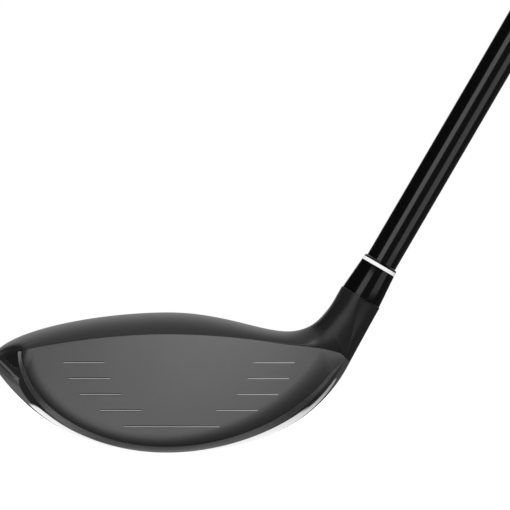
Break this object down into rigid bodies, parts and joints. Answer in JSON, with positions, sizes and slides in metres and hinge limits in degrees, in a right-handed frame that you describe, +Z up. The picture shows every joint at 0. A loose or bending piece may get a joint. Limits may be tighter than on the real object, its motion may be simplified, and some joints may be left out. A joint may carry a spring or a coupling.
{
  "type": "fairway wood",
  "caption": "Right-handed fairway wood golf club: hollow steel head with a curved lofted face, hosel, ferrule, tapered graphite shaft, rubber grip and screw-in sole weight.",
  "frame": {"origin": "the flat on the sole where the club rests on the ground, under the middle of the face and in the plane of the shaft axis", "axes": "+Z up with the club soled at address, +X from toe to heel, +Y from the face to the tail; the shaft axis lies in the plane y = 0"},
  "size_m": [0.6398, 0.0771, 0.9495],
  "materials": {
    "polished_steel": "polished",
    "face_steel": "dark satin",
    "head_paint": "satin charcoal",
    "plug_plastic": "matt",
    "score_paint": "paint fill",
    "ferrule_black": "gloss",
    "ferrule_white": "gloss",
    "shaft_gloss": "gloss clear coat over carbon fibre",
    "epoxy": "cured adhesive",
    "tip_brass": "turned",
    "tape_paper": "paper tape",
    "grip_rubber": "textured",
    "port_steel": "turned",
    "washer_nylon": "matt",
    "weight_steel": "turned and blasted"
  },
  "bodies": {
    "club": {"sole_body": "polished_steel", "face_cup": "face_steel", "crown_shell": "head_paint", "hosel": "head_paint", "bore_plug": "plug_plastic", "score_line_fill": "score_paint", "ferrule_sleeve": "ferrule_black", "ferrule_ring": "ferrule_white", "ferrule_lip": "ferrule_black", "shaft": "shaft_gloss", "shaft_bond": "epoxy", "tip_weight": "tip_brass", "grip_tape": "tape_paper", "grip_sleeve": "grip_rubber", "grip_cap": "grip_rubber", "weight_port": "port_steel"},
    "washer": {"weight_washer": "washer_nylon"},
    "weight": {"weight_screw": "weight_steel"}
  },
  "joints": [
    {"name": "weight_travel", "type": "slide", "parent": "club", "child": "washer", "axis": [0, 0.2613, -0.9652], "range_m": [0, 0.005]},
    {"name": "weight_turn", "type": "hinge", "parent": "washer", "child": "weight", "pos_m": [0, 0.0373, 0.0043], "axis": [0, 0.2613, -0.9652], "range_deg": [0, 1800]}
  ],
  "couplings": [
    {"joint": "weight_travel", "follows": "weight_turn", "m_per_rad": 0.00015915}
  ]
}
